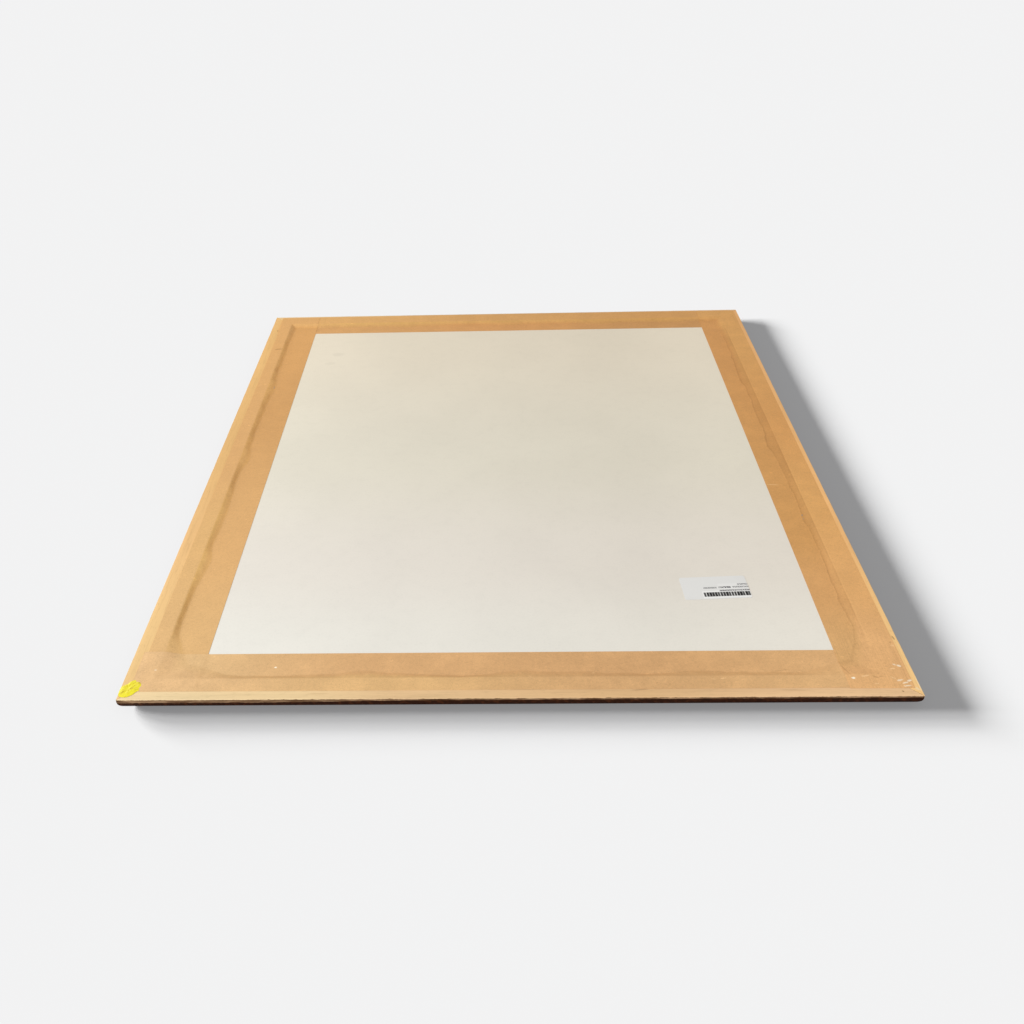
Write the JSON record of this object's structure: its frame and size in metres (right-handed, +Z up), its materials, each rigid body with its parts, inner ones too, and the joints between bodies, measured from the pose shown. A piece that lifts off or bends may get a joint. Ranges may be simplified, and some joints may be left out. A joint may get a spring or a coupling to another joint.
{
  "type": "framed picture",
  "caption": "Flat framed picture lying face down: mitred wood moulding, recessed backing board sealed with paper tape, glazing and mat inside.",
  "frame": {"origin": "on the ground under the middle of the frame, face down", "axes": "+Z up, out of the back of the frame; +Y along its length, away from the near rail; +X across its width"},
  "size_m": [0.61, 0.762, 0.0143],
  "materials": {
    "moulding": "bare planed wood on the back, dark brown stain on the outer side and front",
    "paper_tape": "brown kraft paper, matt with a slight sheen",
    "backing": "smooth off-white card face",
    "glazing": "clear float glass",
    "mat_card": "fine textured card with a white core",
    "art_paper": "plain toned paper",
    "steel": "plain stamped steel",
    "label": "smooth white label stock with black print",
    "paint": "thick dried yellow paint, half gloss"
  },
  "bodies": {
    "root": {"art_sheet": "art_paper", "backing_board": "backing", "far_left_vnail_1": "steel", "far_left_vnail_2": "steel", "far_point_1": "steel", "far_point_2": "steel", "far_point_3": "steel", "far_rail": "moulding", "far_right_vnail_1": "steel", "far_right_vnail_2": "steel", "far_tape": "paper_tape", "glazing": "glazing", "left_point_1": "steel", "left_point_2": "steel", "left_point_3": "steel", "left_rail": "moulding", "left_tape": "paper_tape", "near_left_vnail_1": "steel", "near_left_vnail_2": "steel", "near_point_1": "steel", "near_point_2": "steel", "near_point_3": "steel", "near_rail": "moulding", "near_right_vnail_1": "steel", "near_right_vnail_2": "steel", "near_tape": "paper_tape", "paint_daub": "paint", "right_point_1": "steel", "right_point_2": "steel", "right_point_3": "steel", "right_rail": "moulding", "right_tape": "paper_tape", "stock_label": "label", "window_mat": "mat_card"}
  },
  "joints": []
}
